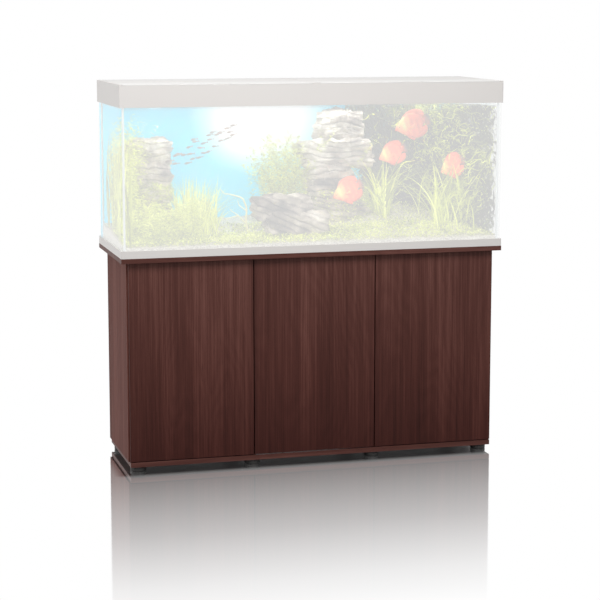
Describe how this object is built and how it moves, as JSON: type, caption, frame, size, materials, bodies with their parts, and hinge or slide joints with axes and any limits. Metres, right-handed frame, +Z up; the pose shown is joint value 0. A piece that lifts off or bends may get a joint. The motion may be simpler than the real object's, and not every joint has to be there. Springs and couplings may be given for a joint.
{
  "type": "aquarium on stand",
  "caption": "Long glass aquarium with a flap-top hood and lamp, standing on a walnut-look cabinet with hinged push-open doors and shelves.",
  "frame": {"origin": "on the floor in the middle of the footprint", "axes": "+X to the right along the front, +Y from the doors to the back, +Z up"},
  "size_m": [1.51, 0.51, 1.468],
  "materials": {
    "walnut_laminate": "satin",
    "walnut_edge": "satin",
    "carcass_laminate": "satin",
    "foot_plastic": "matte",
    "hinge_nickel": "satin",
    "latch_plastic": "matte",
    "hood_plastic": "satin",
    "pane_glass": "gloss",
    "lamp_housing": "satin",
    "lamp_tube": "gloss",
    "filter_plastic": "matte",
    "heater_glass": "gloss",
    "gravel": "matte",
    "rock": "matte",
    "silicone": "satin",
    "plant": "satin",
    "fish_skin": "satin",
    "water": "gloss",
    "backdrop_film": "matte"
  },
  "bodies": {
    "root": {"base_plate": "walnut_edge", "top_panel": "walnut_edge", "side_panel_left": "walnut_laminate", "side_panel_right": "walnut_laminate", "divider_left": "carcass_laminate", "divider_right": "carcass_laminate", "back_panel_left": "carcass_laminate", "back_panel_right": "carcass_laminate", "shelf_left": "carcass_laminate", "shelf_right": "carcass_laminate", "foot_front_1": "foot_plastic", "foot_front_2": "foot_plastic", "foot_front_3": "foot_plastic", "foot_front_4": "foot_plastic", "foot_back_1": "foot_plastic", "foot_back_2": "foot_plastic", "foot_back_3": "foot_plastic", "foot_back_4": "foot_plastic", "hinge_arm_left_lower": "hinge_nickel", "hinge_arm_left_upper": "hinge_nickel", "hinge_arm_middle_lower": "hinge_nickel", "hinge_arm_middle_upper": "hinge_nickel", "hinge_arm_right_lower": "hinge_nickel", "hinge_arm_right_upper": "hinge_nickel", "latch_housing_left": "latch_plastic", "latch_housing_middle": "latch_plastic", "latch_housing_right": "latch_plastic", "tank_frame": "hood_plastic", "glass_bottom": "pane_glass", "glass_front": "pane_glass", "glass_back": "pane_glass", "glass_left": "pane_glass", "glass_right": "pane_glass", "glass_brace": "pane_glass", "filter_box": "filter_plastic", "heater": "heater_glass", "gravel_bed": "gravel", "rock_left": "rock", "rock_right": "rock", "rock_front": "rock"},
    "hood": {"hood_frame": "hood_plastic", "lamp_bar": "lamp_housing", "lamp_tube_front": "lamp_tube", "lamp_tube_back": "lamp_tube"},
    "front_left_flap": {"flap_front_left": "hood_plastic"},
    "front_right_flap": {"flap_front_right": "hood_plastic"},
    "back_left_flap": {"flap_back_left": "hood_plastic"},
    "back_right_flap": {"flap_back_right": "hood_plastic"},
    "left_door": {"door_left": "walnut_laminate", "hinge_cup_left_lower": "hinge_nickel", "hinge_cup_left_upper": "hinge_nickel"},
    "left_plunger": {"latch_plunger_left": "latch_plastic"},
    "middle_door": {"door_middle": "walnut_laminate", "hinge_cup_middle_lower": "hinge_nickel", "hinge_cup_middle_upper": "hinge_nickel"},
    "middle_plunger": {"latch_plunger_middle": "latch_plastic"},
    "right_door": {"door_right": "walnut_laminate", "hinge_cup_right_lower": "hinge_nickel", "hinge_cup_right_upper": "hinge_nickel"},
    "right_plunger": {"latch_plunger_right": "latch_plastic"}
  },
  "joints": [
    {"name": "left_door_hinge", "type": "hinge", "parent": "root", "child": "left_door", "pos_m": [-0.721, -0.23, 0.4215], "axis": [0, 0, -1], "range_deg": [0, 100]},
    {"name": "middle_door_hinge", "type": "hinge", "parent": "root", "child": "middle_door", "pos_m": [0.2365, -0.23, 0.4215], "axis": [0, 0, 1], "range_deg": [0, 100]},
    {"name": "right_door_hinge", "type": "hinge", "parent": "root", "child": "right_door", "pos_m": [0.721, -0.23, 0.4215], "axis": [0, 0, 1], "range_deg": [0, 100]},
    {"name": "hood_lift", "type": "slide", "parent": "root", "child": "hood", "axis": [0, 0, 1], "range_m": [0, 0.1]},
    {"name": "front_left_flap_hinge", "type": "hinge", "parent": "hood", "child": "front_left_flap", "pos_m": [-0.379, -0.047, 1.464], "axis": [-1, 0, 0], "range_deg": [0, 85]},
    {"name": "front_right_flap_hinge", "type": "hinge", "parent": "hood", "child": "front_right_flap", "pos_m": [0.379, -0.047, 1.464], "axis": [-1, 0, 0], "range_deg": [0, 85]},
    {"name": "back_left_flap_hinge", "type": "hinge", "parent": "hood", "child": "back_left_flap", "pos_m": [-0.379, 0.047, 1.464], "axis": [1, 0, 0], "range_deg": [0, 85]},
    {"name": "back_right_flap_hinge", "type": "hinge", "parent": "hood", "child": "back_right_flap", "pos_m": [0.379, 0.047, 1.464], "axis": [1, 0, 0], "range_deg": [0, 85]},
    {"name": "left_latch_press", "type": "slide", "parent": "root", "child": "left_plunger", "axis": [0, 1, 0], "range_m": [0, 0.003], "stiffness_N_per_m": 200},
    {"name": "middle_latch_press", "type": "slide", "parent": "root", "child": "middle_plunger", "axis": [0, 1, 0], "range_m": [0, 0.003], "stiffness_N_per_m": 200},
    {"name": "right_latch_press", "type": "slide", "parent": "root", "child": "right_plunger", "axis": [0, 1, 0], "range_m": [0, 0.003], "stiffness_N_per_m": 200}
  ]
}
